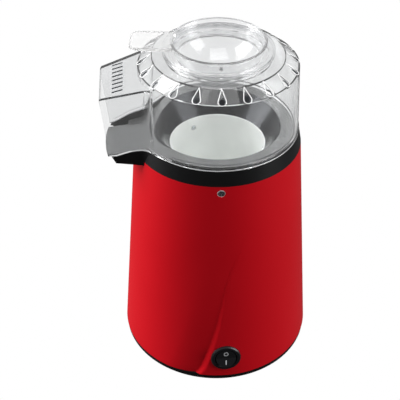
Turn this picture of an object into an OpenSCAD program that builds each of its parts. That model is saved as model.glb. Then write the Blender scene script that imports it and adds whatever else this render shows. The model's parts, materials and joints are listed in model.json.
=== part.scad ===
// Hot-air popcorn maker: a tapered painted body on a black base, a black
// collar with a chute, a clear lift-off hood with a measuring cup in its neck.
// +Z is up, the table is z = 0, the chute points to -Y and the switch to +X.

/* [Body] */
// Radius of the black base band where it is widest
base_r = 77.8; // [77.6:0.1:78]
// Height of the top of the base band
band_top = 5.4; // [5.2:0.1:6]
// Radius of the painted shell at its lower edge
shell_r_low = 78.3; // [78.2:0.1:78.4]
// Radius of the painted shell at its upper edge
shell_r_top = 64.1; // [63.9:0.1:64.4]
// Height of the painted shell's upper edge
shell_top = 190.2; // [190:0.1:190.4]
// Wall thickness of the painted shell
shell_wall = 2.4; // [2:0.1:2.4]

/* [Collar and deck] */
// Height of the collar's rim
collar_top = 202; // [201.9:0.1:202.1]
// Radius of the collar's outer face at its rim
collar_r_top = 61.9; // [61.8:0.1:62]
// Radius of the edge where the deck drops into its funnel
funnel_r = 48; // [47.5:0.1:48]
// Height of the deck's flat ring
deck_z = 203.6; // [203.4:0.1:203.6]

/* [Chute] */
// How far the chute's roof reaches from the axis
chute_reach = 87.4; // [87:0.1:88]
// Half the width of the chute at its end
chute_half = 23.9; // [23.5:0.1:24.2]
// How much each side widens for each millimetre towards the body
chute_widen = 0.196; // [0.18:0.005:0.21]
// Radius of the mouth's curved end, about the axis
mouth_r = 86.2; // [86:0.1:86.4]
// Radius of the fillet between the chute's side and the collar
chute_fillet = 11; // [10:0.5:12]
// Number of cooling slots in the chute's roof
roof_slots = 8; // [6:1:8]

/* [Hood] */
// Height of the shoulder where the hood's wall meets its cone
shoulder_z = 255.6; // [255:0.1:256]
// Height of the hood's flat top
plateau_z = 263.6; // [263.4:0.1:263.8]
// Wall thickness of the clear parts
clear_wall = 2.2; // [2:0.1:2.2]
// Number of drop-shaped vents round the cone
vents = 20; // [12:1:20]

/* [Cup] */
// Radius of the cup's rim
cup_r = 35.1; // [34.9:0.1:35.2]
// Height of the cup's rim
cup_top = 274.3; // [274:0.1:275]
// Distance from the axis to the end of the cup's handle
handle_reach = 64; // [60:0.5:66]

/* [Working parts] */
// Radius inside the popping chamber
chamber_r = 35.9; // [35.5:0.1:35.9]
// Height of the chamber's rim
chamber_top = 187.8; // [187.6:0.1:187.8]
// Number of slanted air slots round the chamber
chamber_slots = 14; // [10:1:16]
// Number of impeller blades
blades = 12; // [8:1:14]
// Radius of the motor shaft
shaft_r = 1.5; // [1.4:0.05:1.5]
// Height of the switch's centre
switch_z = 25.2; // [25:0.1:26]

/* [Hidden] */
$fn = 96;
axis_y = (chute_reach - shell_r_low) / 2;
taper = (shell_r_low - shell_r_top) / (shell_top - band_top);
tilt = atan(taper);
nl = sqrt(1 + chute_widen * chute_widen);
switch_a = 2;
rocker_half = 7.5;
rocker_h = 4.74;
// furthest point of the rocker from the axis
rocker_end = rocker_h + 8.2 * tan(rocker_half);
switch_reach = shell_r(switch_z)
  + (8.2 * sin(rocker_half) + rocker_end * cos(rocker_half) - 3) * cos(tilt)
  + (8.2 * cos(rocker_half) - rocker_end * sin(rocker_half)) * sin(tilt);
axis_x = (shell_r_low - switch_reach) / 2;
screw_a = -2;
// turn of the cord inlet and its wiring, from +Y towards -X
back_a = 65;

// ---------- helpers ----------
function shell_r(z) = shell_r_low - (z - band_top) * taper;
function arc(c, r, a0, a1, n) =
  [for (i = [0:n]) let (a = a0 + (a1 - a0) * i / n) [c[0] + r * cos(a), c[1] + r * sin(a)]];
// distance from the axis to the chute's side line, moved in by s
function side_d(s) = (chute_half + chute_widen * chute_reach) / nl - s;
// a point given by its distance d from the side line's parallel through the axis
function on_side(d, r) = let (t = sqrt(r * r - d * d))
  [(d * chute_widen + t) / nl, (d - t * chute_widen) / nl];
// outline of one side of the chute: body fillet, straight side, rounded corner
function side_pts(R, s, f, mr, rc) =
  let (C = on_side(side_d(s) + f, R + f), D = on_side(side_d(s) - rc, mr - rc),
       k = (R - 0.4) / (R + f))
  concat([[C[0] * k, C[1] * k]],
    arc(C, f, atan2(-C[1], -C[0]), atan2(-1, -chute_widen), 8),
    arc(D, rc, atan2(1, chute_widen), atan2(D[1], D[0]), 6));
function flip(p) = [for (i = [len(p) - 1:-1:0]) [p[i][0], -p[i][1]]];
function plan_pts(R, s, f, mr, rc) =
  let (p = side_pts(R, s, f, mr, rc), a = atan2(p[len(p) - 1][1], p[len(p) - 1][0]),
       m = arc([0, 0], mr, a, -a, 12))
  concat(p, [for (i = [1:len(m) - 2]) m[i]], flip(p));

module on_axis() { translate([axis_x, axis_y, 0]) children(); }
module at(a, r, z) { rotate([0, 0, a]) translate([r, 0, z]) children(); }
// turns a shape drawn with the chute along +X so that it points to -Y
module chute_way() { rotate([0, 0, -90]) children(); }
// a slab seen from the side: x is the distance along the chute, y is the height
module side_slab(pts, w) { rotate([90, 0, 0]) linear_extrude(w, center = true) polygon(pts); }
module ring(pts) { rotate_extrude() polygon(pts); }
module tube(r1, r2, z0, z1) {
  difference() {
    translate([0, 0, z0]) cylinder(r = r2, h = z1 - z0);
    translate([0, 0, z0 - 1]) cylinder(r = r1, h = z1 - z0 + 2);
  }
}
module chute_block(R, s, f, mr, rc, z0, z1) {
  translate([0, 0, z0]) linear_extrude(z1 - z0) polygon(plan_pts(R, s, f, mr, rc));
}
// frame of the switch: +Z points out of the shell, square to its taper
module switch_frame() {
  rotate([0, 0, switch_a]) translate([shell_r(switch_z), 0, switch_z])
    rotate([0, 90 - tilt, 0]) children();
}
// a lead: straight ten-sided runs that lap over each other at the bends
module wire(p, r) {
  for (i = [0:len(p) - 2]) {
    v = p[i + 1] - p[i];
    l = norm(v);
    lap = i < len(p) - 2 ? r * 0.7 : 0;
    translate(p[i]) rotate([0, acos(v[2] / l), atan2(v[1], v[0])]) cylinder(r = r, h = l + lap, $fn = 10);
  }
}

// ---------- base ----------
module base_plate() color([0.05, 0.05, 0.05]) on_axis() difference() {
  union() {
    ring([[0, 0.8], [base_r - 0.4, 0.8], [base_r, 1.2], [base_r - 0.3, band_top], [shell_r_low - 5, band_top],
      [shell_r_low - 5, 9], [shell_r_low - 7, 9], [shell_r_low - 7, 3.5], [0, 3.5]]);
  }
  for (i = [0:3]) at(45 + 90 * i, 67, 0) {
    cylinder(r = 1.7, h = 12);
    cylinder(r = 3.4, h = 2.4);
    translate([0, 0, 3.5]) cylinder(r = 5, h = 8);
  }
  for (i = [0:3]) at(90 * i, 64, 0) cylinder(r = 7.1, h = 2);
  for (i = [0:3]) at(20 + 90 * i, 52, 0) {
    cylinder(r = 1.7, h = 8);
    cylinder(r = 3.4, h = 2.4);
  }
  for (i = [0:23]) at(15 * i, 0, 0) translate([14, -1.4, 0]) cube([i % 2 == 0 ? 28 : 12, 2.8, 8]);
}
module rubber_feet() color([0.12, 0.12, 0.12]) on_axis()
  for (i = [0:3]) at(90 * i, 64, 0) ring([[0, 0], [6.2, 0], [7, 0.8], [7, 2], [0, 2]]);
module base_screws() color("silver") on_axis()
  for (i = [0:3]) at(45 + 90 * i, 67, 0) difference() {
    union() {
      translate([0, 0, 1.2]) cylinder(r = 3, h = 1.2);
      translate([0, 0, 2.4]) cylinder(r = 1.4, h = 16);
    }
    for (a = [0, 90]) rotate([0, 0, a]) translate([-2, -0.35, 0]) cube([4, 0.7, 1.8]);
  }
module housing_screws() color("silver") on_axis()
  for (i = [0:3]) at(20 + 90 * i, 52, 0) difference() {
    union() {
      translate([0, 0, 1.2]) cylinder(r = 3, h = 1.2);
      translate([0, 0, 2.4]) cylinder(r = 1.4, h = 12);
    }
    for (a = [0, 90]) rotate([0, 0, a]) translate([-2, -0.35, 0]) cube([4, 0.7, 1.8]);
  }
module cord_gland() color([0.06, 0.06, 0.06]) on_axis() rotate([0, 0, back_a]) translate([0, 0, 16]) rotate([-90, 0, 0]) difference() {
  union() {
    translate([0, 0, 76.7]) cylinder(r = 7.5, h = 2.1);
    translate([0, 0, 64.8]) cylinder(r = 5.1, h = 12);
    translate([0, 0, 71.2]) cylinder(r = 6.6, h = 3);
  }
  translate([0, 0, 60]) cylinder(r = 3.3, h = 24);
}

// ---------- painted shell ----------
module shell_boss() {
  difference() {
    union() {
      translate([0, 0, band_top]) cylinder(r = 4.2, h = 18);
      translate([2, -1, band_top + 4.6]) cube([8, 2, 13.4]);
    }
    translate([0, 0, 0]) cylinder(r = 1.5, h = 30);
  }
}
module shell_bosses() color([0.16, 0.16, 0.17]) on_axis() intersection() {
  for (i = [0:3]) at(45 + 90 * i, 67, 0) shell_boss();
  ring([[50, band_top], [shell_r_low - shell_wall, band_top],
    [shell_r_low - shell_wall - 25 * taper, band_top + 25], [50, band_top + 25]]);
}
module body_shell() color([0.68, 0.05, 0.08]) on_axis() difference() {
  union() {
    ring([[shell_r_low - shell_wall, band_top], [shell_r_low, band_top], [shell_r_top, shell_top],
      [shell_r_top - shell_wall, shell_top]]);
    switch_frame() translate([0, 0, -3]) cylinder(r = 12.1, h = 2.9);
  }
  switch_frame() {
    translate([0, 0, -12]) cylinder(r = 10, h = 20);
    translate([0, 0, -0.1]) cylinder(r = 13, h = 4);
  }
  rotate([0, 0, back_a]) translate([0, 0, 16]) rotate([-90, 0, 0]) {
    translate([0, 0, 60]) cylinder(r = 5.2, h = 30);
    translate([0, 0, 76.7]) cylinder(r = 7.8, h = 10);
  }
  for (i = [0:2]) at(screw_a + 120 * i, 0, 184.4) rotate([0, 90, 0]) {
    cylinder(r = 1.7, h = 80);
    translate([0, 0, shell_r(184.4) - 1.3]) cylinder(r = 3.1, h = 8);
  }
}

// ---------- collar and deck ----------
// height of the collar's rim along the chute
rim_line = [[-90, collar_top], [42, collar_top], [47, collar_top - 0.5], [52, collar_top - 1.2], [57, collar_top - 1.7],
  [62, collar_top - 2.5], [67, collar_top - 3.9], [72, collar_top - 6.1], [77, collar_top - 8.4], [82, collar_top - 9.7],
  [95, collar_top - 10.6]];
function raise(p, d) = [for (q = p) [q[0], q[1] + d]];
module above_rim(d) { chute_way() side_slab(concat(raise(rim_line, d), [[95, 290], [-90, 290]]), 200); }
module below_rim(d) { chute_way() side_slab(concat(raise(rim_line, d), [[95, 170], [-90, 170]]), 200); }
module collar() color([0.05, 0.05, 0.05]) on_axis() difference() {
  union() {
    ring([[61.2, 176], [61.2, shell_top], [shell_r_top, shell_top], [collar_r_top, collar_top], [60, collar_top],
      [60, 192], [48.6, 192], [48.6, 190], [59.2, 190], [59.2, 176]]);
    for (i = [0:2]) at(screw_a + 120 * i, 0, 184.4) rotate([0, 90, 0]) translate([0, 0, 54]) cylinder(r = 3.6, h = 6);
    chute_way() difference() {
      intersection() {
        chute_block(62.4, 0, chute_fillet, mouth_r, 8, 187.3, 206);
        ring([[0, 187.3], [82, 187.3], [86.8, 197], [86.8, 210], [0, 210]]);
      }
      // channel for the tray
      difference() {
        chute_block(60.4, 2, chute_fillet + 1.5, mouth_r - 2, 6.5, 188.3, 210);
        translate([0, 0, 180]) cylinder(r = 60.6, h = 40);
      }
      translate([0, 0, 180]) cylinder(r = 60.6, h = 40);
      translate([0, 0, 180]) cylinder(r = 64.6, h = shell_top - 180);
      translate([70, -19.5, 188.4]) cube([20, 39, 20]);
    }
  }
  // way out of the ring into the chute
  chute_way() intersection() {
    difference() {
      chute_block(60.4, 2, chute_fillet + 1.5, mouth_r - 2, 6.5, 192, 210);
      translate([0, 0, 180]) cylinder(r = 55, h = 40);
    }
    translate([0, 0, 180]) cylinder(r = 66, h = 40);
  }
  above_rim(0);
  for (i = [0:2]) at(screw_a + 120 * i, 0, 184.4) rotate([0, 90, 0]) translate([0, 0, 50]) cylinder(r = 1.55, h = 20);
  for (i = [0:2]) at(-25 + 115 * i, 53, 180) cylinder(r = 1.7, h = 20);
}
module collar_screws() color("silver") on_axis()
  for (i = [0:2]) at(screw_a + 120 * i, 0, 184.4) rotate([0, 90, 0]) difference() {
    union() {
      translate([0, 0, 55]) cylinder(r = 1.5, h = 9);
      translate([0, 0, shell_r(184.4) - 1.3]) cylinder(r1 = 2.7, r2 = 2.3, h = 1.2);
    }
    for (a = [0, 90]) rotate([0, 0, a]) translate([-1.6, -0.35, shell_r(184.4) - 0.8]) cube([3.2, 0.7, 2]);
  }
// height of the deck's surface along the chute
deck_line = [[-70, deck_z], [36, deck_z], [42, deck_z - 2.2], [50, deck_z - 6.6], [57, deck_z - 9.4], [86.8, 190.4]];
// height of its underside, which clears the collar's wall on the way out
deck_under = [[86.8, 188.6], [69, 190.8], [67, 192.2], [57, 192.6], [50, deck_z - 8.4], [42, deck_z - 4],
  [36, deck_z - 1.8], [-70, deck_z - 1.8]];
module popping_deck() color([0.54, 0.55, 0.55]) on_axis() {
  chute_way() difference() {
    union() {
      intersection() {
        union() {
          chute_block(57.4, 2.6, chute_fillet + 2, mouth_r - 0.3, 6, 185, 206);
          translate([0, 0, 185]) cylinder(r = 57.4, h = 21);
        }
        side_slab(concat(deck_line, deck_under), 130);
        difference() {
          translate([0, 0, 180]) cylinder(r = 95, h = 30);
          translate([mouth_r - 8, 0, 0]) for (s = [-1, 1]) translate([0, s * 29.2, 180]) cube([20, 20, 40], center = true);
        }
      }
      intersection() {
        ring([[36.9, chamber_top], [funnel_r, deck_z], [funnel_r + 2.2, deck_z], [funnel_r + 2, deck_z - 2],
          [39.5, chamber_top]]);
        side_slab(concat(deck_line, [[86.8, 180], [-70, 180]]), 130);
      }
    }
    ring([[0, 180], [36.9, 180], [36.9, chamber_top], [funnel_r, deck_z], [funnel_r, 210], [0, 210]]);
  }
  for (i = [0:2]) at(-25 + 115 * i, 53, 0) difference() {
    translate([0, 0, 192]) cylinder(r = 3.4, h = deck_z - 1 - 192);
    translate([0, 0, 190]) cylinder(r = 1.55, h = 10);
  }
}
module deck_screws() color("silver") on_axis()
  for (i = [0:2]) at(-25 + 115 * i, 53, 0) {
    translate([0, 0, 188]) cylinder(r = 3, h = 2);
    translate([0, 0, 190]) cylinder(r = 1.5, h = 9);
  }

// ---------- popping chamber and air path ----------
module popping_chamber() color([0.8, 0.81, 0.8]) on_axis() difference() {
  ring([[0, 126], [10, 125.6], [28, 122.4], [33.5, 122], [chamber_r + 0.8, 125], [chamber_r + 0.8, chamber_top - 0.8],
    [39.8, chamber_top - 0.8], [39.8, chamber_top], [chamber_r, chamber_top], [chamber_r, 125.6], [33.2, 122.9],
    [28.2, 123.3], [10, 126.5], [0, 126.9]]);
  for (i = [0:chamber_slots - 1]) at(360 / chamber_slots * i, chamber_r, 134)
    rotate([35, 0, 0]) cube([6, 1.8, 14], center = true);
  for (i = [0:2]) at(207.8 + 120 * i, 30, 178.9) rotate([0, 90, 0]) cylinder(r = 1.3, h = 12);
}
module chamber_brackets() color("silver") on_axis()
  for (i = [0:2]) at(207.8 + 120 * i, 0, 0) difference() {
    translate([chamber_r + 0.9, -4, 174]) cube([8.3, 8, 10]);
    translate([chamber_r + 1.9, -5, 172]) cube([6.3, 10, 11]);
    translate([30, 0, 178.9]) rotate([0, 90, 0]) cylinder(r = 1.3, h = 9);
  }
module chamber_rivets() color([0.75, 0.75, 0.75]) on_axis()
  for (i = [0:2]) at(207.8 + 120 * i, 0, 178.9) rotate([0, 90, 0]) {
    translate([0, 0, chamber_r - 1]) cylinder(r1 = 1.6, r2 = 2.2, h = 0.9);
    translate([0, 0, chamber_r - 0.2]) cylinder(r = 1.25, h = 2.3);
    translate([0, 0, chamber_r + 1.9]) cylinder(r = 2, h = 0.8);
  }
module air_duct() color([0.7, 0.71, 0.72]) on_axis() difference() {
  ring([[45.3, 96], [46, 96], [46, chamber_top - 0.8], [37.2, chamber_top - 0.8], [37.2, chamber_top - 1.5],
    [45.3, chamber_top - 1.5]]);
  at(0, 40, 108) rotate([0, 90, 0]) cylinder(r = 3.1, h = 12);
}
module duct_grommet() color([0.75, 0.72, 0.66]) on_axis() at(0, 0, 108) rotate([0, 90, 0]) difference() {
  union() {
    translate([0, 0, 44]) cylinder(r = 3, h = 5);
    translate([0, 0, 46.3]) cylinder(r = 4.4, h = 1.6);
  }
  translate([0, 0, 40]) cylinder(r = 1.6, h = 12);
}
module fan_housing() color([0.16, 0.16, 0.17]) on_axis() difference() {
  union() {
    ring([[30, 60], [48.6, 60], [48.6, 100], [46.2, 100], [46.2, 96], [45.2, 96], [45.2, 62.5], [30, 62.5]]);
    translate([0, 0, 60]) cylinder(r = 19, h = 2.5);
    for (i = [0:3]) at(20 + 90 * i, 0, 0) translate([10, -2.5, 60]) cube([26, 5, 2.5]);
    for (i = [0:3]) at(20 + 90 * i, 0, 0) {
      translate([52, 0, 3.5]) cylinder(r = 4.4, h = 62);
      translate([47.5, -2, 60]) cube([5, 4, 5.5]);
    }
  }
  translate([0, 0, 50]) cylinder(r = 4.2, h = 20);
  for (a = [65, 245]) at(a, 9, 50) cylinder(r = 1.4, h = 20);
  for (i = [0:3]) at(20 + 90 * i, 52, 0) cylinder(r = 1.5, h = 22);
}
coil_rings = [[20, 102], [28, 102], [36, 102], [20, 112], [28, 112], [36, 112]];
module heater_frame() color([0.78, 0.7, 0.55]) on_axis() difference() {
  for (a = [45, 135]) rotate([0, 0, a]) translate([-44.6, -0.5, 96.4]) cube([89.2, 1, 22]);
  for (c = coil_rings) rotate_extrude() translate([c[0], c[1]]) circle(r = 1, $fn = 24);
}
module heater_coil() color([0.45, 0.42, 0.4]) on_axis() {
  for (c = coil_rings) rotate_extrude() translate([c[0], c[1]]) circle(r = 0.8, $fn = 24);
  for (r = [20, 36]) at(4, r, 102) cylinder(r = 0.8, h = 10, $fn = 24);
  at(8, 20, 102) rotate([0, 90, 0]) cylinder(r = 0.8, h = 8, $fn = 24);
  at(12, 28, 102) rotate([0, 90, 0]) cylinder(r = 0.8, h = 8, $fn = 24);
  at(8, 20, 112) rotate([0, 90, 0]) cylinder(r = 0.8, h = 8, $fn = 24);
  at(0, 36, 108) rotate([0, 90, 0]) cylinder(r = 0.8, h = 14, $fn = 24);
  at(0, 36, 108) cylinder(r = 0.8, h = 4, $fn = 24);
  at(0, 36, 108) sphere(r = 0.8, $fn = 24);
}
module thermostat() color([0.2, 0.2, 0.2]) on_axis() at(60, 0, 150) rotate([0, 90, 0]) difference() {
  union() {
    translate([0, 0, 46.1]) cylinder(r = 8, h = 6);
    translate([-1.2, -4.6, 52]) cube([2.4, 2.4, 5]);
    translate([-1.2, 2.2, 52]) cube([2.4, 2.4, 5]);
  }
  translate([0, 0, 40]) cylinder(r = 46.04 - 40, h = 0.1);
}
module thermal_fuse() color([0.85, 0.83, 0.78]) on_axis() at(100 + back_a, 49, 140) {
  cylinder(r = 2, h = 13);
  translate([0, 0, -3]) cylinder(r = 0.5, h = 19, $fn = 24);
}

// ---------- motor and fan ----------
module motor_can() color([0.66, 0.67, 0.68]) on_axis() difference() {
  ring([[4.1, 58.8], [15, 58.8], [15, 22], [16, 22], [16, 60], [4.1, 60]]);
  for (a = [65, 245]) at(a, 9, 50) cylinder(r = 1.4, h = 20);
}
module motor_magnets() color([0.22, 0.22, 0.24]) on_axis() difference() {
  tube(12.2, 14.95, 28, 54);
  for (a = [0, 180]) rotate([0, 0, a]) translate([8, -5, 20]) cube([10, 10, 40]);
}
module motor_end_cap() color([0.1, 0.1, 0.1]) on_axis() difference() {
  union() {
    translate([0, 0, 19]) cylinder(r = 16, h = 3);
    translate([0, 0, 22]) cylinder(r = 14.9, h = 2.5);
    for (s = [-1, 1]) translate([s * 8 - 2.5, -3, 22]) cube([5, 6, 6]);
  }
  translate([0, 0, 10]) cylinder(r = 4.1, h = 20);
}
module motor_bushes() color([0.72, 0.55, 0.25]) on_axis() {
  tube(shaft_r + 0.05, 4.1, 56, 62);
  tube(shaft_r + 0.05, 4.1, 18.4, 24);
}
module motor_screws() color("silver") on_axis()
  for (a = [65, 245]) at(a, 9, 0) {
    translate([0, 0, 62.5]) cylinder(r = 2.5, h = 1.6);
    translate([0, 0, 58.6]) cylinder(r = 1.35, h = 4);
  }
module rectifier_board() color([0.5, 0.38, 0.2]) on_axis() difference() {
  translate([0, 0, 16.2]) cylinder(r = 15, h = 1.4);
  translate([0, 0, 10]) cylinder(r = 4.4, h = 12);
}
module diodes() color([0.08, 0.08, 0.08]) on_axis()
  for (i = [0:3]) rotate([0, 0, 90 * i]) translate([-3.5, 9.5, 14.6]) rotate([0, 90, 0]) cylinder(r = 1.5, h = 7, $fn = 32);
module motor_shaft() color([0.75, 0.76, 0.78]) on_axis() translate([0, 0, 19]) cylinder(r = shaft_r, h = 68);
module motor_armature() color([0.62, 0.4, 0.22]) on_axis() difference() {
  translate([0, 0, 31]) cylinder(r = 11.6, h = 20);
  translate([0, 0, 20]) cylinder(r = shaft_r, h = 40);
  for (i = [0:4]) at(72 * i, 10.2, 30) { translate([-4, -0.9, 0]) cube([8, 1.8, 24]); }
}
module commutator() color([0.72, 0.45, 0.25]) on_axis() tube(shaft_r, 4.4, 25.5, 30);
module impeller() color([0.82, 0.82, 0.8]) on_axis() difference() {
  union() {
    translate([0, 0, 80]) cylinder(r = 38, h = 1.6);
    translate([0, 0, 66]) cylinder(r = 6, h = 18);
    intersection() {
      for (i = [0:blades - 1]) at(360 / blades * i, 0, 66) rotate([0, 0, -6]) translate([16, 3.5, 0]) cube([24, 1.4, 14.5]);
      translate([0, 0, 60]) cylinder(r = 37.6, h = 30);
    }
  }
  translate([0, 0, 60]) cylinder(r = shaft_r, h = 30);
}
module impeller_nut() color("silver") on_axis() difference() {
  translate([0, 0, 84]) cylinder(r = 3.6, h = 2.6, $fn = 6);
  translate([0, 0, 80]) cylinder(r = shaft_r, h = 10);
}

// ---------- switch, terminals and leads ----------
module switch_housing() color([0.07, 0.07, 0.07]) on_axis() switch_frame() difference() {
  union() {
    ring([[0, -14], [9.9, -14], [9.9, -0.1], [12.2, -0.1], [12.2, 1.1], [11.4, 1.9], [9.4, 1.9], [8.9, 1.4], [0, 1.4]]);
  }
  translate([0, 0, -8]) cylinder(r = 8.9, h = 20);
  translate([0, 0, -3]) rotate([90, 0, 0]) translate([0, 0, -12]) cylinder(r = 1.25, h = 24);
}
// the O half is at the top and lies flush at rest; x runs down the shell here
module switch_rocker() color([0.1, 0.1, 0.1]) on_axis() switch_frame() translate([0, 0, -3]) {
  rotate([0, -rocker_half, 0]) intersection() {
    translate([0, 0, -5]) cylinder(r = 8.2, h = 14);
    side_slab([[-8.4, rocker_h + 8.4 * tan(rocker_half)], [-8.4, -1], [-6.3, -3.2], [6.3, -3.2], [8.4, -1],
      [8.4, rocker_h + 8.4 * tan(rocker_half)], [0, rocker_h]], 30);
  }
  rotate([90, 0, 0]) translate([0, 0, -9.6]) cylinder(r = 1.2, h = 19.2);
}
module switch_terminals() color([0.8, 0.65, 0.3]) on_axis() switch_frame()
  for (s = [-1, 1]) translate([s * 4 - 0.4, -3, -22]) cube([0.8, 6, 8]);
module terminal_block() color([0.85, 0.83, 0.78]) on_axis() rotate([0, 0, back_a]) difference() {
  translate([-11, 54, 3.5]) cube([22, 9, 11]);
  for (x = [-5.5, 5.5]) translate([x, 50, 10]) rotate([-90, 0, 0]) cylinder(r = 2, h = 20);
}
module internal_leads() color([0.8, 0.8, 0.78]) on_axis() {
  rotate([0, 0, back_a]) wire([[-5.5, 53.8, 10], [-5.5, 51, 10], [-5.5, 51, 110], [-8.5, 48.3, 136.6]], 1.2);
  wire([[-46.4, 27.8, 10], [-33.9, 21.9, 12], [-18, 36, 12], [5.5, 40, 12], [38, 10, 17], [46, 2, 19.6],
    [54.6, 1.9, 19.6]], 1.2);
  wire([[54.3, 1.9, 27.5], [51.4, 1.9, 27.5], [51.4, 0.5, 107.5], [50.2, 0, 108]], 1.2);
}

// ---------- hood and cup ----------
function roof_z(u) = 242 + (chute_reach - u) * 0.297;
// drop-shaped vent: round low end, pointed high end, along +X
module drop(r, l) { circle(r = r, $fn = 48); polygon([[0, r * 0.999], [-r * 0.25, -r * 0.96], [l, 0]]);
  polygon([[0, -r * 0.999], [-r * 0.25, r * 0.96], [l, 0]]); }
module hood() color([0.9, 0.92, 0.94, 0.35]) on_axis() difference() {
  union() {
    // drum, cone, flat top and neck
    difference() {
      union() {
        ring([[0, 188], [61.3, 188], [61.3, collar_top + 2.2], [59.3, shoulder_z], [48.8, plateau_z],
          [39.3, plateau_z], [39.3, 265.9], [41.1, 265.9], [41.1, 267.4], [0, 267.4]]);
        chute_way() intersection() {
          chute_block(60.8, 0.6, chute_fillet, mouth_r + 4, 1, 188, 262);
          side_slab([[30, 188], [82.2, 188], [chute_reach, roof_z(chute_reach) - 1.5],
            [chute_reach - 1.2, roof_z(chute_reach - 1.2)], [30, roof_z(30)]], 120);
        }
        // flange that stands on the collar's rim
        difference() {
          union() {
            translate([0, 0, 188]) cylinder(r = collar_r_top - 0.1, h = 30);
            chute_way() chute_block(62.2, 0.1, chute_fillet, mouth_r - 0.1, 8, 188, 218);
          }
          above_rim(2.3);
        }
      }
      ring([[0, 180], [61.3 - clear_wall, 180], [61.3 - clear_wall, collar_top + 2.2],
        [59.3 - clear_wall, shoulder_z - 1.2], [48.2, plateau_z - clear_wall],
        [39.3, plateau_z - clear_wall], [39.3, 260], [31.6, 260], [0, 260]]);
      ring([[0, 250], [31.6, 250], [31.6, 262], [36.8, 262], [36.8, 270], [0, 270]]);
      // inside of the chute
      chute_way() intersection() {
        chute_block(58.6, 0.6 + clear_wall, chute_fillet + 2, 110, 1, 180, 262);
        side_slab([[46, 180], [112, 180], [112, roof_z(112) - 2.3], [46, roof_z(46) - 2.3]], 120);
      }
    }
    // skirt that drops between the collar and the deck
    difference() {
      ring([[58.0, 199.4], [59.6, 199.4], [59.6, 206], [58.0, 206]]);
      chute_way() translate([36, -50, 190]) cube([40, 100, 40]);
    }
  }
  // the bottom edge follows the collar's rim, but leaves the skirt
  difference() {
    below_rim(0.3);
    translate([0, 0, 199.4]) cylinder(r = 59.6, h = 60);
  }
  chute_way() translate([36, -50, 160]) cube([30, 100, 26]);
  for (i = [0:vents - 1]) at(360 / vents * i + screw_a, 54.3, 259.4) rotate([0, 37.3, 0]) {
    translate([0, 0, -1.0]) linear_extrude(4) rotate([0, 0, 180]) translate([-3.4, 0]) drop(2.9, 9.5);
    translate([3.9, 0, -5]) cylinder(r = 2.1, h = 10);
    translate([2.3, 0, -5]) cylinder(r = 2.1, h = 10);
    translate([2.3, -2.1, -5]) cube([1.6, 4.2, 10]);
  }
  chute_way() for (i = [0:roof_slots - 1])
    translate([70, (i - (roof_slots - 1) / 2) * 5.5 - 0.9, 236]) cube([8, 1.8, 20]);
}
module measuring_cup() color([0.92, 0.93, 0.95, 0.35]) on_axis() {
  difference() {
    union() {
      ring([[0, 244], [9, 244.6], [18, 247.4], [25.5, 252.6], [30.2, 259], [31.2, 262.3], [34.5, 262.3], [cup_r, cup_top],
        [0, cup_top]]);
      rotate([0, 0, -96.5]) {
        translate([30, -13, 270.4]) cube([handle_reach - 36, 26, 2.6]);
        translate([30, -7, 270.4]) cube([handle_reach - 30, 14, 2.6]);
        for (s = [-1, 1]) translate([handle_reach - 6, s * 7, 270.4]) cylinder(r = 6, h = 2.6);
      }
      at(screw_a, 33.6, 270.2) rotate([0, 90, 0]) cylinder(r = 1.5, h = 2.7);
    }
    ring([[0, 246], [8.4, 246.6], [16.8, 249.4], [23.8, 254], [28.4, 260], [30, 265], [cup_r - 1.8, cup_top + 1], [0, cup_top + 1]]);
  }
}

base_plate();
rubber_feet();
base_screws();
housing_screws();
body_shell();
shell_bosses();
collar();
collar_screws();
popping_deck();
deck_screws();
popping_chamber();
chamber_brackets();
chamber_rivets();
air_duct();
duct_grommet();
fan_housing();
heater_frame();
heater_coil();
thermostat();
thermal_fuse();
motor_can();
motor_magnets();
motor_end_cap();
motor_bushes();
motor_screws();
rectifier_board();
diodes();
terminal_block();
internal_leads();
cord_gland();
switch_housing();
switch_terminals();
switch_rocker();
motor_shaft();
motor_armature();
commutator();
impeller();
impeller_nut();
hood();
measuring_cup();
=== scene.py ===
import bpy, bmesh, math, json
from mathutils import Vector, Matrix, noise


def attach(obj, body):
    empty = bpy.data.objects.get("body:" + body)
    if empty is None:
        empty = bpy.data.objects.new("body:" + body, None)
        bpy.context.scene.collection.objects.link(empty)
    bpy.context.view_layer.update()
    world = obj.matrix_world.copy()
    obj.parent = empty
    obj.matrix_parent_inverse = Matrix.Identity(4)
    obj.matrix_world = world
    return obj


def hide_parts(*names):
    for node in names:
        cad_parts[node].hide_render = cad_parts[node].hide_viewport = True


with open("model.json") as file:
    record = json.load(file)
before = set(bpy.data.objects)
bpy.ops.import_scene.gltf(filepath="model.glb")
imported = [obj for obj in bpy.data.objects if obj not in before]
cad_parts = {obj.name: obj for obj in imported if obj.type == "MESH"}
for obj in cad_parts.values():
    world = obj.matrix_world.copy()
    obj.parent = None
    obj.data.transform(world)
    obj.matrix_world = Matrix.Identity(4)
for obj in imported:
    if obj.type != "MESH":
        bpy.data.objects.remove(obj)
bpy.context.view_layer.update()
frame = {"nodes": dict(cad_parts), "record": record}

N = frame["nodes"]
AX, AY = -0.001436, 0.00455          # the body's vertical axis in the row frame
MM = 0.001


# ---------------------------------------------------------------- materials
def new_mat(name):
    m = bpy.data.materials.new(name)
    m.use_nodes = True
    nt = m.node_tree
    nt.nodes.clear()
    out = nt.nodes.new("ShaderNodeOutputMaterial")
    p = nt.nodes.new("ShaderNodeBsdfPrincipled")
    nt.links.new(p.outputs["BSDF"], out.inputs["Surface"])
    return m, nt, p


def coords(nt, scale=(1, 1, 1)):
    tc = nt.nodes.new("ShaderNodeTexCoord")
    mp = nt.nodes.new("ShaderNodeMapping")
    mp.inputs["Scale"].default_value = scale
    nt.links.new(tc.outputs["Object"], mp.inputs["Vector"])
    return mp.outputs["Vector"]


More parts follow.
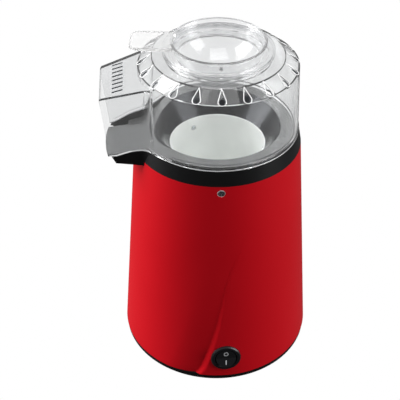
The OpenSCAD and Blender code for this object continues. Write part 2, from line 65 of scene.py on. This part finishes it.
def noise_tex(nt, vec, scale, detail=4.0, rough=0.55):
    n = nt.nodes.new("ShaderNodeTexNoise")
    n.inputs["Scale"].default_value = scale
    n.inputs["Detail"].default_value = detail
    n.inputs["Roughness"].default_value = rough
    nt.links.new(vec, n.inputs["Vector"])
    return n.outputs["Fac"]


def ramp(nt, fac, stops):
    r = nt.nodes.new("ShaderNodeValToRGB")
    els = r.color_ramp.elements
    while len(els) > 1:
        els.remove(els[-1])
    els[0].position, els[0].color = stops[0][0], (*stops[0][1], 1)
    for pos, col in stops[1:]:
        e = els.new(pos)
        e.color = (*col, 1)
    nt.links.new(fac, r.inputs["Fac"])
    return r.outputs["Color"]


def map_range(nt, fac, lo, hi, a=0.0, b=1.0):
    r = nt.nodes.new("ShaderNodeMapRange")
    r.inputs["From Min"].default_value = a
    r.inputs["From Max"].default_value = b
    r.inputs["To Min"].default_value = lo
    r.inputs["To Max"].default_value = hi
    nt.links.new(fac, r.inputs["Value"])
    return r.outputs["Result"]


def bump(nt, p, height, strength, distance):
    b = nt.nodes.new("ShaderNodeBump")
    b.inputs["Strength"].default_value = strength
    b.inputs["Distance"].default_value = distance
    nt.links.new(height, b.inputs["Height"])
    nt.links.new(b.outputs["Normal"], p.inputs["Normal"])


def srgb(r, g, b):
    f = lambda c: c / 12.92 if c <= 0.04045 else ((c + 0.055) / 1.055) ** 2.4
    return tuple(f(x / 255.0) for x in (r, g, b))


def scale3(c, k):
    return tuple(min(1.0, x * k) for x in c)


def plastic(name, col, rough=(0.3, 0.4), grain=900.0, bump_s=0.06, coat=0.0, spec=0.5, vary=0.06):
    """moulded plastic: fine grain in gloss and relief, faint mottling in colour"""
    m, nt, p = new_mat(name)
    v = coords(nt)
    big = noise_tex(nt, v, 28.0, 3.0)
    fine = noise_tex(nt, v, grain, 3.0, 0.6)
    c = ramp(nt, big, [(0.25, scale3(col, 1 - vary)), (0.75, scale3(col, 1 + vary))])
    nt.links.new(c, p.inputs["Base Color"])
    nt.links.new(map_range(nt, fine, rough[0], rough[1], 0.3, 0.7), p.inputs["Roughness"])
    p.inputs["Specular IOR Level"].default_value = spec
    p.inputs["Coat Weight"].default_value = coat
    p.inputs["Coat Roughness"].default_value = 0.08
    bump(nt, p, fine, bump_s, 0.0002)
    return m


def metal(name, col, rough=(0.25, 0.4), axis_scale=(1, 1, 1), grain=600.0, bump_s=0.05, vary=0.08, metallic=1.0):
    """bare metal: rolled or turned grain from stretched noise, mottled gloss"""
    m, nt, p = new_mat(name)
    v = coords(nt, axis_scale)
    g = noise_tex(nt, v, grain, 5.0, 0.6)
    big = noise_tex(nt, coords(nt), 40.0, 3.0)
    c = ramp(nt, big, [(0.3, scale3(col, 1 - vary)), (0.7, scale3(col, 1 + vary))])
    nt.links.new(c, p.inputs["Base Color"])
    p.inputs["Metallic"].default_value = metallic
    nt.links.new(map_range(nt, g, rough[0], rough[1], 0.3, 0.7), p.inputs["Roughness"])
    bump(nt, p, g, bump_s, 0.0001)
    return m


def red_paint():
    """satin red paint: deep base, fine orange peel and a soft sheen"""
    m, nt, p = new_mat("red_satin_paint")
    v = coords(nt)
    big = noise_tex(nt, v, 12.0, 2.0)
    c = ramp(nt, big, [(0.3, (0.60, 0.0035, 0.010)), (0.7, (0.64, 0.0045, 0.012))])
    nt.links.new(c, p.inputs["Base Color"])
    peel = noise_tex(nt, v, 260.0, 2.0, 0.5)
    fine = noise_tex(nt, v, 1500.0, 2.0, 0.5)
    nt.links.new(map_range(nt, fine, 0.36, 0.46, 0.3, 0.7), p.inputs["Roughness"])
    p.inputs["Specular IOR Level"].default_value = 0.2
    p.inputs["Coat Weight"].default_value = 0.0
    p.inputs["Coat Roughness"].default_value = 0.22
    bump(nt, p, peel, 0.03, 0.0002)
    return m


def clear(name, tint, rough=0.02, ior=1.49, clarity=1.0, shade=0.94):
    """clear moulded plastic, with faint flow marks and fine scuffs"""
    m, nt, p = new_mat(name)
    v = coords(nt)
    flow = noise_tex(nt, v, 18.0, 2.0)
    scuff = noise_tex(nt, coords(nt, (1, 1, 0.25)), 420.0, 4.0, 0.65)
    c = ramp(nt, flow, [(0.3, scale3(tint, 0.985)), (0.7, tint)])
    nt.links.new(c, p.inputs["Base Color"])
    p.inputs["Transmission Weight"].default_value = clarity
    p.inputs["IOR"].default_value = ior
    nt.links.new(map_range(nt, scuff, rough * 0.6, rough * 2.2, 0.35, 0.75), p.inputs["Roughness"])
    bump(nt, p, flow, 0.05, 0.0004)
    # light from the lamps passes through, as it does through thin clear walls
    lp = nt.nodes.new("ShaderNodeLightPath")
    tr = nt.nodes.new("ShaderNodeBsdfTransparent")
    tr.inputs["Color"].default_value = (shade, shade, shade, 1)
    mix = nt.nodes.new("ShaderNodeMixShader")
    out = [n for n in nt.nodes if n.type == "OUTPUT_MATERIAL"][0]
    nt.links.new(lp.outputs["Is Shadow Ray"], mix.inputs["Fac"])
    nt.links.new(p.outputs["BSDF"], mix.inputs[1])
    nt.links.new(tr.outputs["BSDF"], mix.inputs[2])
    nt.links.new(mix.outputs["Shader"], out.inputs["Surface"])
    return m


M = {
    "black_plastic": plastic("black_collar_plastic", srgb(17, 17, 18), (0.28, 0.4), 1100, 0.05),
    "red_paint": red_paint(),
    "rubber": plastic("rubber_feet", srgb(26, 26, 27), (0.7, 0.85), 700, 0.15, spec=0.3),
    "steel": metal("zinc_screw_steel", srgb(205, 207, 210), (0.18, 0.35), (1, 1, 1), 900),
    "deck_grey": None,
    "chamber_aluminium": metal("drawn_aluminium", srgb(238, 240, 238), (0.42, 0.56), (1, 1, 14), 300, 0.05, metallic=0.45),
    "galvanised": metal("galvanised_sheet", srgb(190, 193, 196), (0.3, 0.55), (1, 1, 1), 220, 0.04, 0.14),
    "ceramic_white": plastic("steatite_ceramic", srgb(230, 226, 214), (0.5, 0.7), 500, 0.12),
    "housing_plastic": plastic("dark_housing_plastic", srgb(44, 44, 46), (0.4, 0.55), 800, 0.1),
    "mica": plastic("mica_sheet", srgb(190, 170, 128), (0.35, 0.7), 160, 0.3, vary=0.3),
    "nichrome": metal("oxidised_nichrome", srgb(112, 104, 98), (0.4, 0.6), (1, 1, 1), 800),
    "motor_steel": metal("plated_motor_steel", srgb(196, 198, 202), (0.22, 0.4), (1, 1, 8), 400),
    "ferrite": plastic("sintered_ferrite", srgb(52, 52, 55), (0.5, 0.7), 600, 0.2),
    "bronze": metal("sintered_bronze", srgb(190, 150, 88), (0.4, 0.6), (1, 1, 1), 900, 0.15),
    "board": plastic("phenolic_board", srgb(150, 112, 62), (0.4, 0.6), 400, 0.1, vary=0.18),
    "lead_insulation": plastic("braided_lead_sleeve", srgb(222, 220, 212), (0.6, 0.8), 1600, 0.4),
    "armature_copper": metal("enamelled_copper", srgb(178, 104, 58), (0.3, 0.45), (1, 1, 30), 500, 0.3),
    "switch_black": plastic("switch_black_plastic", srgb(22, 22, 25), (0.3, 0.4), 900, 0.04, spec=0.7),
    "impeller_white": plastic("impeller_plastic", srgb(222, 222, 218), (0.4, 0.5), 600, 0.06),
    "clear_plastic": clear("clear_hood_plastic", (0.885, 0.89, 0.893), 0.015, 1.45, 0.985),
}
CUP = clear("clear_cup_plastic", (0.86, 0.863, 0.868), 0.03, 1.42, 0.94)
HANDLE = clear("clear_cup_handle", (0.87, 0.87, 0.867), 0.04, 1.40, 0.88, 0.9)
# near-white and mostly opaque: painted highlight along the vent outlines
VENT_LIP_PAINTED_HIGHLIGHT = clear("vent_lip_painted_highlight", (0.96, 0.96, 0.96), 0.06, 1.45, 0.4, 0.9)
# near-black tint on the clear hood's cut faces: painted shade
CUT_EDGE_PAINTED_SHADE = clear("clear_plastic_cut_edge_painted_shade", (0.10, 0.11, 0.125), 0.08, 1.45, 0.55, 0.3)


def deck_mat():
    """metallic grey plastic with a soft mirror gloss; the funnel is coloured darker than the ring as painted shade"""
    m, nt, p = new_mat("metallic_grey_deck")
    v = coords(nt)
    flake = noise_tex(nt, v, 2600.0, 2.0, 0.7)
    big = noise_tex(nt, v, 22.0, 3.0)
    ring = ramp(nt, big, [(0.3, srgb(156, 157, 156)), (0.7, srgb(164, 165, 165))])
    # the funnel's near-black colour is painted shade; the ring keeps the deck's own grey
    funnel_painted_shade = ramp(nt, big, [(0.3, srgb(46, 47, 49)), (0.7, srgb(54, 55, 57))])
    off = nt.nodes.new("ShaderNodeVectorMath")
    off.operation = "SUBTRACT"
    off.inputs[1].default_value = (AX, AY, 0)
    nt.links.new(v, off.inputs[0])
    flat = nt.nodes.new("ShaderNodeVectorMath")
    flat.operation = "MULTIPLY"
    flat.inputs[1].default_value = (1, 1, 0)
    nt.links.new(off.outputs["Vector"], flat.inputs[0])
    ln = nt.nodes.new("ShaderNodeVectorMath")
    ln.operation = "LENGTH"
    nt.links.new(flat.outputs["Vector"], ln.inputs[0])
    # mask by distance from the axis: inside 47.9 mm the funnel gets the painted shade
    out = map_range(nt, ln.outputs["Value"], 0.0, 1.0, 0.0479, 0.0483)
    mx = nt.nodes.new("ShaderNodeMix")
    mx.data_type = "RGBA"
    nt.links.new(out, mx.inputs[0])
    nt.links.new(funnel_painted_shade, mx.inputs[6])
    nt.links.new(ring, mx.inputs[7])
    nt.links.new(mx.outputs[2], p.inputs["Base Color"])
    p.inputs["Metallic"].default_value = 0.9
    nt.links.new(map_range(nt, flake, 0.16, 0.28, 0.3, 0.7), p.inputs["Roughness"])
    p.inputs["Coat Weight"].default_value = 0.12
    p.inputs["Coat Roughness"].default_value = 0.05
    bump(nt, p, flake, 0.03, 0.0001)
    return m


M["deck_grey"] = deck_mat()
slot_of = {s["node"]: s["material_slot"] for s in frame["record"]["subparts"]}
for n, o in N.items():
    o.data.materials.clear()
    o.data.materials.append(CUP if n == "measuring_cup" else M[slot_of[n]])


# ---------------------------------------------------------------- geometry helpers
def mesh_obj(name, verts, faces, mat=None):
    me = bpy.data.meshes.new(name)
    me.from_pydata([tuple(v) for v in verts], [], faces)
    me.update()
    o = bpy.data.objects.new(name, me)
    bpy.context.scene.collection.objects.link(o)
    if mat:
        me.materials.append(mat)
    return o


def finish_mesh(o, angle=30.0, weld=1e-7):
    """welds, sets face directions, and splits shading only at real edges"""
    bm = bmesh.new()
    bm.from_mesh(o.data)
    bmesh.ops.remove_doubles(bm, verts=bm.verts, dist=weld)
    bmesh.ops.recalc_face_normals(bm, faces=bm.faces)
    lim = math.radians(angle)
    for f in bm.faces:
        f.smooth = True
    for e in bm.edges:
        e.smooth = len(e.link_faces) == 2 and e.calc_face_angle(0.0) < lim
    bm.to_mesh(o.data)
    bm.free()


def cyl(name, r, z0, z1, M4, n=96, r2=None):
    r2 = r if r2 is None else r2
    v, f = [], []
    for k in range(n):
        a = 2 * math.pi * k / n
        v.append(M4 @ Vector((r * math.cos(a), r * math.sin(a), z0)))
    for k in range(n):
        a = 2 * math.pi * k / n
        v.append(M4 @ Vector((r2 * math.cos(a), r2 * math.sin(a), z1)))
    for k in range(n):
        f.append((k, (k + 1) % n, n + (k + 1) % n, n + k))
    f.append(tuple(reversed(range(n))))
    f.append(tuple(range(n, 2 * n)))
    return mesh_obj(name, v, f)


def cut(o, tools):
    """takes the tools out of o with exact booleans, then drops the tools"""
    for t in tools:
        md = o.modifiers.new("cut", "BOOLEAN")
        md.operation = "DIFFERENCE"
        md.solver = "EXACT"
        md.object = t
    dg = bpy.context.evaluated_depsgraph_get()
    me = bpy.data.meshes.new_from_object(o.evaluated_get(dg))
    o.modifiers.clear()
    o.data = me
    for t in tools:
        bpy.data.objects.remove(t)


AXIS = Matrix.Translation((AX, AY, 0))


TAPER = (78.3 - 64.1) / (190.2 - 5.4)


def shell_r(z):
    return (78.3 - (z - 5.4) * TAPER) * MM


TILT = math.atan(TAPER)
SWITCH = (AXIS @ Matrix.Rotation(math.radians(2), 4, "Z") @ Matrix.Translation((shell_r(25.2), 0, 0.0252))
          @ Matrix.Rotation(math.pi / 2 - TILT, 4, "Y"))


# ---------------------------------------------------------------- painted shell with its swept crease
CREASE = [(5, -18.6), (7.1, -15.6), (12.2, -13.7), (34.4, -8.7), (58.2, -4.3), (76.6, -1.7), (97, 0.9),
          (111, 3.5), (124.7, 7.2), (136, 11.7), (142, 15.0)]


def crease_az(z):
    for (z0, a0), (z1, a1) in zip(CREASE, CREASE[1:]):
        if z <= z1:
            t = (z - z0) / (z1 - z0)
            return a0 + (a1 - a0) * t
    return CREASE[-1][1]


def crease_smooth(z):
    w = [(d, math.exp(-(d / 3.2) ** 2)) for d in (-6, -4, -2, 0, 2, 4, 6)]
    return sum(crease_az(max(5, z + d)) * k for d, k in w) / sum(k for _, k in w)


def smooth01(t):
    t = max(0.0, min(1.0, t))
    return t * t * (3 - 2 * t)


def relief(az, z, c):
    """depth of the swept hollow, in mm: a long shallow side towards the chute and a short steep one"""
    deep = DEPTH * (1 - smooth01((z - 20) / 122.0)) ** 0.8
    if deep <= 0:
        return 0.0
    s = math.radians(az - c) * shell_r(z) / MM
    wide = 5.8 - 3.5 * smooth01((z - 8) / 110.0)
    left = 27.0 - 7.0 * smooth01(z / 140.0)
    if s < 0:
        t = 1 + s / left
        return deep * max(0.0, t) ** 1.7 if t > 0 else 0.0
    return deep * (1 - smooth01(s / wide)) if s < wide else 0.0


DEPTH = 2.15


def body_shell():
    azs = []
    a = -62.0
    while a < 26.0 - 1e-6:
        azs.append(a)
        a += 0.35
    while a < 298.0 - 1e-6:
        azs.append(a)
        a += 2.25
    zs = [5.4 + 1.1 * i for i in range(130)]
    zs = [z for z in zs if z < 149]
    zs += [154, 162, 170, 177, 180.5, 183, 185.5, 188, 190.2]
    na, nz = len(azs), len(zs)
    v, f = [], []
    for z in zs:
        c = crease_smooth(z)
        for az in azs:
            r = shell_r(z) - relief(az, z, c) * MM
            v.append(AXIS @ Vector((r * math.cos(math.radians(az)), r * math.sin(math.radians(az)), z * MM)))
    for z in zs:
        for az in azs:
            r = shell_r(z) - 2.4 * MM
            v.append(AXIS @ Vector((r * math.cos(math.radians(az)), r * math.sin(math.radians(az)), z * MM)))
    k = na * nz
    for i in range(nz - 1):
        for j in range(na):
            j2 = (j + 1) % na
            f.append((i * na + j, i * na + j2, (i + 1) * na + j2, (i + 1) * na + j))
            f.append((k + i * na + j, k + (i + 1) * na + j, k + (i + 1) * na + j2, k + i * na + j2))
    for j in range(na):
        j2 = (j + 1) % na
        f.append((j, k + j, k + j2, j2))
        t = (nz - 1) * na
        f.append((t + j, t + j2, k + t + j2, k + t + j))
    o = mesh_obj("body_shell_painted", v, f, M["red_paint"])
    tools = [cyl("t", 0.010, -0.012, 0.01, SWITCH), cyl("t", 0.013, -0.0001, 0.006, SWITCH)]
    back = AXIS @ Matrix.Rotation(math.radians(65), 4, "Z") @ Matrix.Translation((0, 0, 0.016)) @ Matrix.Rotation(-math.pi / 2, 4, "X")
    tools += [cyl("t", 0.0052, 0.06, 0.09, back), cyl("t", 0.0078, 0.0767, 0.09, back)]
    for i in range(3):
        m4 = (AXIS @ Matrix.Rotation(math.radians(-2 + 120 * i), 4, "Z") @ Matrix.Translation((0, 0, 0.1844))
              @ Matrix.Rotation(math.pi / 2, 4, "Y"))
        tools.append(cyl("t", 0.0017, 0.05, 0.08, m4, 48))
        tools.append(cyl("t", 0.0031, shell_r(184.4) - 0.0013, 0.075, m4, 64))
    cut(o, tools)
    if not o.data.materials:
        o.data.materials.append(M["red_paint"])
    finish_mesh(o, 24)
    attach(o, "base")
    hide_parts("body_shell")
    return o


body_shell()


# ---------------------------------------------------------------- moulded marks on the rocker
def marks():
    """white ring on the upper half and white bar on the lower half, moulded 0.12 mm proud"""
    h = math.radians(7.5)
    rock = SWITCH @ Matrix.Translation((0, 0, -0.003)) @ Matrix.Rotation(-h, 4, "Y")
    m, nt, p = new_mat("printed_mark_white")
    c = ramp(nt, noise_tex(nt, coords(nt), 900.0, 2.0), [(0.3, (0.52, 0.53, 0.55)), (0.7, (0.60, 0.61, 0.63))])
    nt.links.new(c, p.inputs["Base Color"])
    p.inputs["Roughness"].default_value = 0.4

    def face(x, y, up):
        return rock @ Vector((x * MM, y * MM, (4.74 + abs(x) * math.tan(h) + up) * MM))

    v, f = [], []
    n, cx, ro, ri = 64, -4.2, 1.95, 1.3
    for (r, up) in ((ro, -0.05), (ro, 0.12), (ri, 0.12), (ri, -0.05)):
        for k in range(n):
            a = 2 * math.pi * k / n
            v.append(face(cx + r * math.cos(a), r * math.sin(a), up))
    for q in range(4):
        for k in range(n):
            k2 = (k + 1) % n
            q2 = (q + 1) % 4
            f.append((q * n + k, q * n + k2, q2 * n + k2, q2 * n + k))
    b = len(v)
    for up in (-0.05, 0.12):
        for (x, y) in ((2.0, -0.45), (5.9, -0.45), (5.9, 0.45), (2.0, 0.45)):
            v.append(face(x, y, up))
    f += [(b, b + 3, b + 2, b + 1), (b + 4, b + 5, b + 6, b + 7)]
    for k in range(4):
        k2 = (k + 1) % 4
        f.append((b + k, b + k2, b + 4 + k2, b + 4 + k))
    o = mesh_obj("rocker_marks", v, f, m)
    finish_mesh(o, 30)
    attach(o, "rocker")
    return o


marks()


# ---------------------------------------------------------------- cut edges of the clear hood, and screw eyelets
def loft(rings, closed=True):
    """faces joining equal rings of points in order, the last to the first"""
    n = len(rings[0])
    v = [p for r in rings for p in r]
    f = []
    m = len(rings)
    for q in range(m if closed else m - 1):
        for k in range(n):
            k2, q2 = (k + 1) % n, (q + 1) % m
            f.append((q * n + k, q * n + k2, q2 * n + k2, q2 * n + k))
    return v, f


def join_loft(name, parts, mat, body, angle=30):
    v, f = [], []
    for pv, pf in parts:
        b = len(v)
        v += pv
        f += [tuple(b + i for i in q) for q in pf]
    o = mesh_obj(name, v, f, mat)
    finish_mesh(o, angle)
    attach(o, body)
    return o


def roof_z(u):
    return 242 + (87.4 - u) * 0.297


def slot_linings():
    """the cut faces of the roof's slots, tinted near-black as painted shade"""
    parts = []
    for i in range(8):
        y = (i - 3.5) * 5.5
        rings = []
        for (g, dz) in ((0.03, -2.25), (0.03, -0.06), (0.30, -0.06), (0.30, -2.25)):
            ring = []
            for (x, yy) in ((70 + g, y - 0.9 + g), (78 - g, y - 0.9 + g), (78 - g, y + 0.9 - g), (70 + g, y + 0.9 - g)):
                ring.append(AXIS @ Vector((yy * MM, -x * MM, (roof_z(x) + dz) * MM)))
            rings.append(ring)
        parts.append(loft(rings))
    join_loft("roof_slot_edges", parts, CUT_EDGE_PAINTED_SHADE, "hood")


def vent_linings():
    """the cut faces of the drop-shaped vents' holes, tinted near-black as painted shade"""
    parts = []
    for i in range(20):
        F = (AXIS @ Matrix.Rotation(math.radians(18 * i - 2), 4, "Z") @ Matrix.Translation((0.0543, 0, 0.2594))
             @ Matrix.Rotation(math.radians(37.3), 4, "Y"))
        rings = []
        for (r, z) in ((2.07, -2.1), (2.07, -1.05), (1.78, -1.05), (1.78, -2.1)):
            ring = []
            for k in range(40):
                a = 2 * math.pi * k / 40
                c = 3.9 if math.cos(a) > 0 else 2.3
                ring.append(F @ Vector(((c + r * math.cos(a)) * MM, r * math.sin(a) * MM, z * MM)))
            rings.append(ring)
        parts.append(loft(rings))
    join_loft("vent_edges", parts, CUT_EDGE_PAINTED_SHADE, "hood")


def vent_lips():
    """the rolled lips round the drop-shaped vents, whitened as a painted highlight along the vent outlines"""
    parts = []
    cx, r, tip = 3.4, 2.9, -6.0
    half = math.acos(r / (cx - tip))
    path = []
    for k in range(37):
        a = math.pi - half - (2 * math.pi - 2 * half) * k / 36
        path.append((cx + r * math.cos(a), r * math.sin(a), math.cos(a), math.sin(a)))
    path.append((tip + 0.25, -0.12, -0.7, -0.7))
    path.append((tip, 0.0, -1.0, 0.0))
    path.append((tip + 0.25, 0.12, -0.7, 0.7))
    for i in range(20):
        F = (AXIS @ Matrix.Rotation(math.radians(18 * i - 2), 4, "Z") @ Matrix.Translation((0.0543, 0, 0.2594))
             @ Matrix.Rotation(math.radians(37.3), 4, "Y"))
        rings = []
        for q in range(8):
            b = 2 * math.pi * q / 8
            rings.append([F @ Vector(((x + nx * 0.3 * math.cos(b)) * MM, (y + ny * 0.3 * math.cos(b)) * MM,
                                      (-0.02 + 0.24 * math.sin(b) - 0.016 * y * y) * MM)) for (x, y, nx, ny) in path])
        parts.append(loft(rings))
    join_loft("vent_lips", parts, VENT_LIP_PAINTED_HIGHLIGHT, "hood", 60)


def eyelets():
    """thin bright rings pressed into the collar screws' recesses"""
    parts = []
    for i in range(3):
        F = (AXIS @ Matrix.Rotation(math.radians(-2 + 120 * i), 4, "Z") @ Matrix.Translation((0, 0, 0.1844))
             @ Matrix.Rotation(math.pi / 2, 4, "Y"))
        rings = []
        for q in range(8):
            b = 2 * math.pi * q / 8
            r = 2.8 + 0.24 * math.cos(b)
            z = shell_r(184.4) / MM - 0.42 + 0.24 * math.sin(b)
            rings.append([F @ Vector((r * math.cos(2 * math.pi * k / 48) * MM, r * math.sin(2 * math.pi * k / 48) * MM, z * MM))
                          for k in range(48)])
        parts.append(loft(rings))
    join_loft("screw_eyelets", parts, metal("pressed_eyelet", srgb(250, 250, 252), (0.35, 0.5), (1, 1, 1), 900, metallic=0.0), "base", 60)


def lathe(name, prof, n=128):
    v, f = [], []
    rows = []
    for (r, z) in prof:
        if r < 1e-6:
            rows.append([len(v)])
            v.append(AXIS @ Vector((0, 0, z * MM)))
        else:
            rows.append(list(range(len(v), len(v) + n)))
            v += [AXIS @ Vector((r * math.cos(2 * math.pi * k / n) * MM, r * math.sin(2 * math.pi * k / n) * MM, z * MM))
                  for k in range(n)]
    for a, b in zip(rows, rows[1:] + rows[:1]):
        if len(a) == 1 and len(b) == 1:
            continue
        for k in range(n):
            k2 = (k + 1) % n
            if len(a) == 1:
                f.append((a[0], b[k2], b[k]))
            elif len(b) == 1:
                f.append((a[k], a[k2], b[0]))
            else:
                f.append((a[k], a[k2], b[k2], b[k]))
    return mesh_obj(name, v, f)


def bezier_prof(pts, n=10):
    """a smooth line through the given points"""
    out = []
    P = [pts[0]] + list(pts) + [pts[-1]]
    for i in range(1, len(P) - 2):
        for q in range(n):
            t = q / n
            out.append(tuple(0.5 * (2 * P[i][c] + (P[i + 1][c] - P[i - 1][c]) * t
                                    + (2 * P[i - 1][c] - 5 * P[i][c] + 4 * P[i + 1][c] - P[i + 2][c]) * t * t
                                    + (3 * P[i][c] - P[i - 1][c] - 3 * P[i + 1][c] + P[i + 2][c]) * t ** 3)
                             for c in (0, 1)))
    out.append(tuple(pts[-1]))
    return out


def smooth_cup():
    """the measuring cup as one smooth bowl with a rolled rim, its flat handle and the nub on its wall"""
    outer = bezier_prof([(0, 244), (9, 244.9), (18, 248.0), (25.2, 253.4), (29.8, 259.2), (31.9, 264.2), (33.8, 270.0)], 6)
    rim = [(34.5, 272.4), (35.1, 273.4), (35.06, 273.9), (34.8, 274.22), (34.4, 274.3), (33.6, 274.28), (33.2, 274.0)]
    inner = bezier_prof([(32.7, 272.6), (31.6, 268.5), (30.1, 263.8), (27.9, 259.3), (23.5, 254.3), (16.8, 249.9), (8.4, 246.9), (0, 246)], 6)
    cup = lathe("cup_smooth", outer + rim + inner)
    R = AXIS @ Matrix.Rotation(math.radians(-96.5), 4, "Z")
    plan = [(32.6, -13)]
    for (cx, cy, a0) in ((58, -7, -90), (58, 7, 0)):
        for k in range(11):
            a = math.radians(a0 + 9 * k)
            plan.append((cx + 6 * math.cos(a), cy + 6 * math.sin(a)))
    plan.append((32.6, 13))
    v = []
    for (z, g) in ((270.4, 0.35), (270.7, 0.0), (272.7, 0.0), (273.0, 0.35)):
        for (x, y) in plan:
            c = (47.0, 0.0)
            d = math.hypot(x - c[0], y - c[1])
            k = 1 - g / d
            v.append(R @ Vector(((c[0] + (x - c[0]) * k) * MM, (y * k) * MM, z * MM)))
    n = len(plan)
    f = [tuple(reversed(range(n))), tuple(range(3 * n, 4 * n))]
    for q in range(3):
        for k in range(n):
            k2 = (k + 1) % n
            f.append((q * n + k, q * n + k2, (q + 1) * n + k2, (q + 1) * n + k))
    handle = mesh_obj("t", v, f)
    nub = cyl("t", 0.0015, 0.0328, 0.0361, AXIS @ Matrix.Rotation(math.radians(-2), 4, "Z") @ Matrix.Translation((0, 0, 0.2702))
              @ Matrix.Rotation(math.pi / 2, 4, "Y"), 32)
    for t in (cup, handle, nub):
        finish_mesh(t, 35)
    for t in (handle, nub):
        md = cup.modifiers.new("add", "BOOLEAN")
        md.operation = "UNION"
        md.solver = "EXACT"
        md.object = t
    dg = bpy.context.evaluated_depsgraph_get()
    me = bpy.data.meshes.new_from_object(cup.evaluated_get(dg))
    cup.modifiers.clear()
    cup.data = me
    for t in (handle, nub):
        bpy.data.objects.remove(t)
    me.materials.clear()
    me.materials.append(CUP)
    me.materials.append(HANDLE)
    finish_mesh(cup, 35)
    for poly in cup.data.polygons:
        c = poly.center
        far = math.hypot(c.x - AX, c.y - AY) > 0.0364
        poly.material_index = 1 if far and c.z > 0.27 else 0
    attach(cup, "cup")
    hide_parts("measuring_cup")


smooth_cup()
slot_linings()
vent_linings()
vent_lips()
eyelets()


# ---------------------------------------------------------------- camera
def camera():
    k = 0.98 * MM
    d, h, pitch, yaw = 608.28, 607.69, 0.664828, -0.0225316
    a = math.radians(85)
    rot = Matrix.Rotation(a, 3, "Z")
    pos = rot @ Vector((0, -d, h)) * k + Vector((AX, AY, 0))
    fwd = rot @ Vector((math.sin(yaw) * math.cos(pitch), math.cos(yaw) * math.cos(pitch), -math.sin(pitch)))
    right = rot @ Vector((math.cos(yaw), -math.sin(yaw), 0))
    up = right.cross(fwd)
    cd = bpy.data.cameras.new("camera")
    cd.sensor_width = 36
    cd.lens = 932.435 / 400 * 36
    cd.clip_start, cd.clip_end = 0.01, 20
    c = bpy.data.objects.new("camera", cd)
    c.matrix_world = Matrix((
        (right.x, up.x, -fwd.x, pos.x), (right.y, up.y, -fwd.y, pos.y),
        (right.z, up.z, -fwd.z, pos.z), (0, 0, 0, 1)))
    bpy.context.scene.collection.objects.link(c)
    bpy.context.scene.camera = c


camera()


# ---------------------------------------------------------------- studio
def area(name, loc, target, size, power, color=(1, 1, 1)):
    l = bpy.data.lights.new(name, "AREA")
    l.shape = "RECTANGLE"
    l.size, l.size_y = size
    l.energy = power
    l.color = color
    o = bpy.data.objects.new(name, l)
    o.location = loc
    o.rotation_mode = "QUATERNION"
    o.rotation_quaternion = (Vector(target) - Vector(loc)).to_track_quat("-Z", "Y")
    bpy.context.scene.collection.objects.link(o)
    return o


def studio():
    """white sweep below, seen by the camera and through the clear parts; a dim room with soft boxes for the rest"""
    w = bpy.data.worlds.new("studio")
    bpy.context.scene.world = w
    w.use_nodes = True
    nt = w.node_tree
    nt.nodes.clear()
    out = nt.nodes.new("ShaderNodeOutputWorld")
    tc = nt.nodes.new("ShaderNodeTexCoord")
    sep = nt.nodes.new("ShaderNodeSeparateXYZ")
    nt.links.new(tc.outputs["Generated"], sep.inputs["Vector"])

    def math2(op, a, b):
        n = nt.nodes.new("ShaderNodeMath")
        n.operation = op
        for k, x in enumerate((a, b)):
            if isinstance(x, float):
                n.inputs[k].default_value = x
            else:
                nt.links.new(x, n.inputs[k])
        return n.outputs["Value"]

    up = map_range(nt, sep.outputs["Z"], 0.0, 1.0, -1.0, 1.0)
    side = map_range(nt, sep.outputs["X"], 1.0, 0.30, -0.7, 0.6)
    c = ramp(nt, up, [(0.0, (0.12, 0.12, 0.12)), (0.46, (0.12, 0.12, 0.12)), (0.53, (0.5, 0.5, 0.505)),
                      (0.75, (0.62, 0.62, 0.63)), (1.0, (0.55, 0.55, 0.56))])
    room = nt.nodes.new("ShaderNodeBackground")
    nt.links.new(c, room.inputs["Color"])
    nt.links.new(math2("MULTIPLY", side, ROOM), room.inputs["Strength"])
    sweep = nt.nodes.new("ShaderNodeBackground")
    sweep.inputs["Color"].default_value = (1, 1, 1, 1)
    sweep.inputs["Strength"].default_value = 1.0
    lp = nt.nodes.new("ShaderNodeLightPath")
    below = map_range(nt, sep.outputs["Z"], 1.0, 0.0, -0.02, 0.05)
    few = math2("MULTIPLY", math2("LESS_THAN", lp.outputs["Transmission Depth"], 3.5), 0.5)
    through = math2("MULTIPLY", lp.outputs["Is Transmission Ray"], math2("MAXIMUM", below, few))
    mix = nt.nodes.new("ShaderNodeMixShader")
    nt.links.new(math2("MAXIMUM", lp.outputs["Is Camera Ray"], through), mix.inputs["Fac"])
    nt.links.new(room.outputs["Background"], mix.inputs[1])
    nt.links.new(sweep.outputs["Background"], mix.inputs[2])
    nt.links.new(mix.outputs["Shader"], out.inputs["Surface"])
    area("left_box", (-0.2, -1.6, 0.9), (0, 0, 0.12), (1.1, 2.0), 50)
    area("right_box", (0.62, 1.45, 0.85), (0, 0, 0.12), (1.0, 1.9), 24)
    area("top_box", (0.05, 0.0, 1.7), (0, 0, 0.2), (0.9, 0.9), 8)


ROOM = 0.9
studio()
sc = bpy.context.scene
sc.view_settings.view_transform = "Standard"
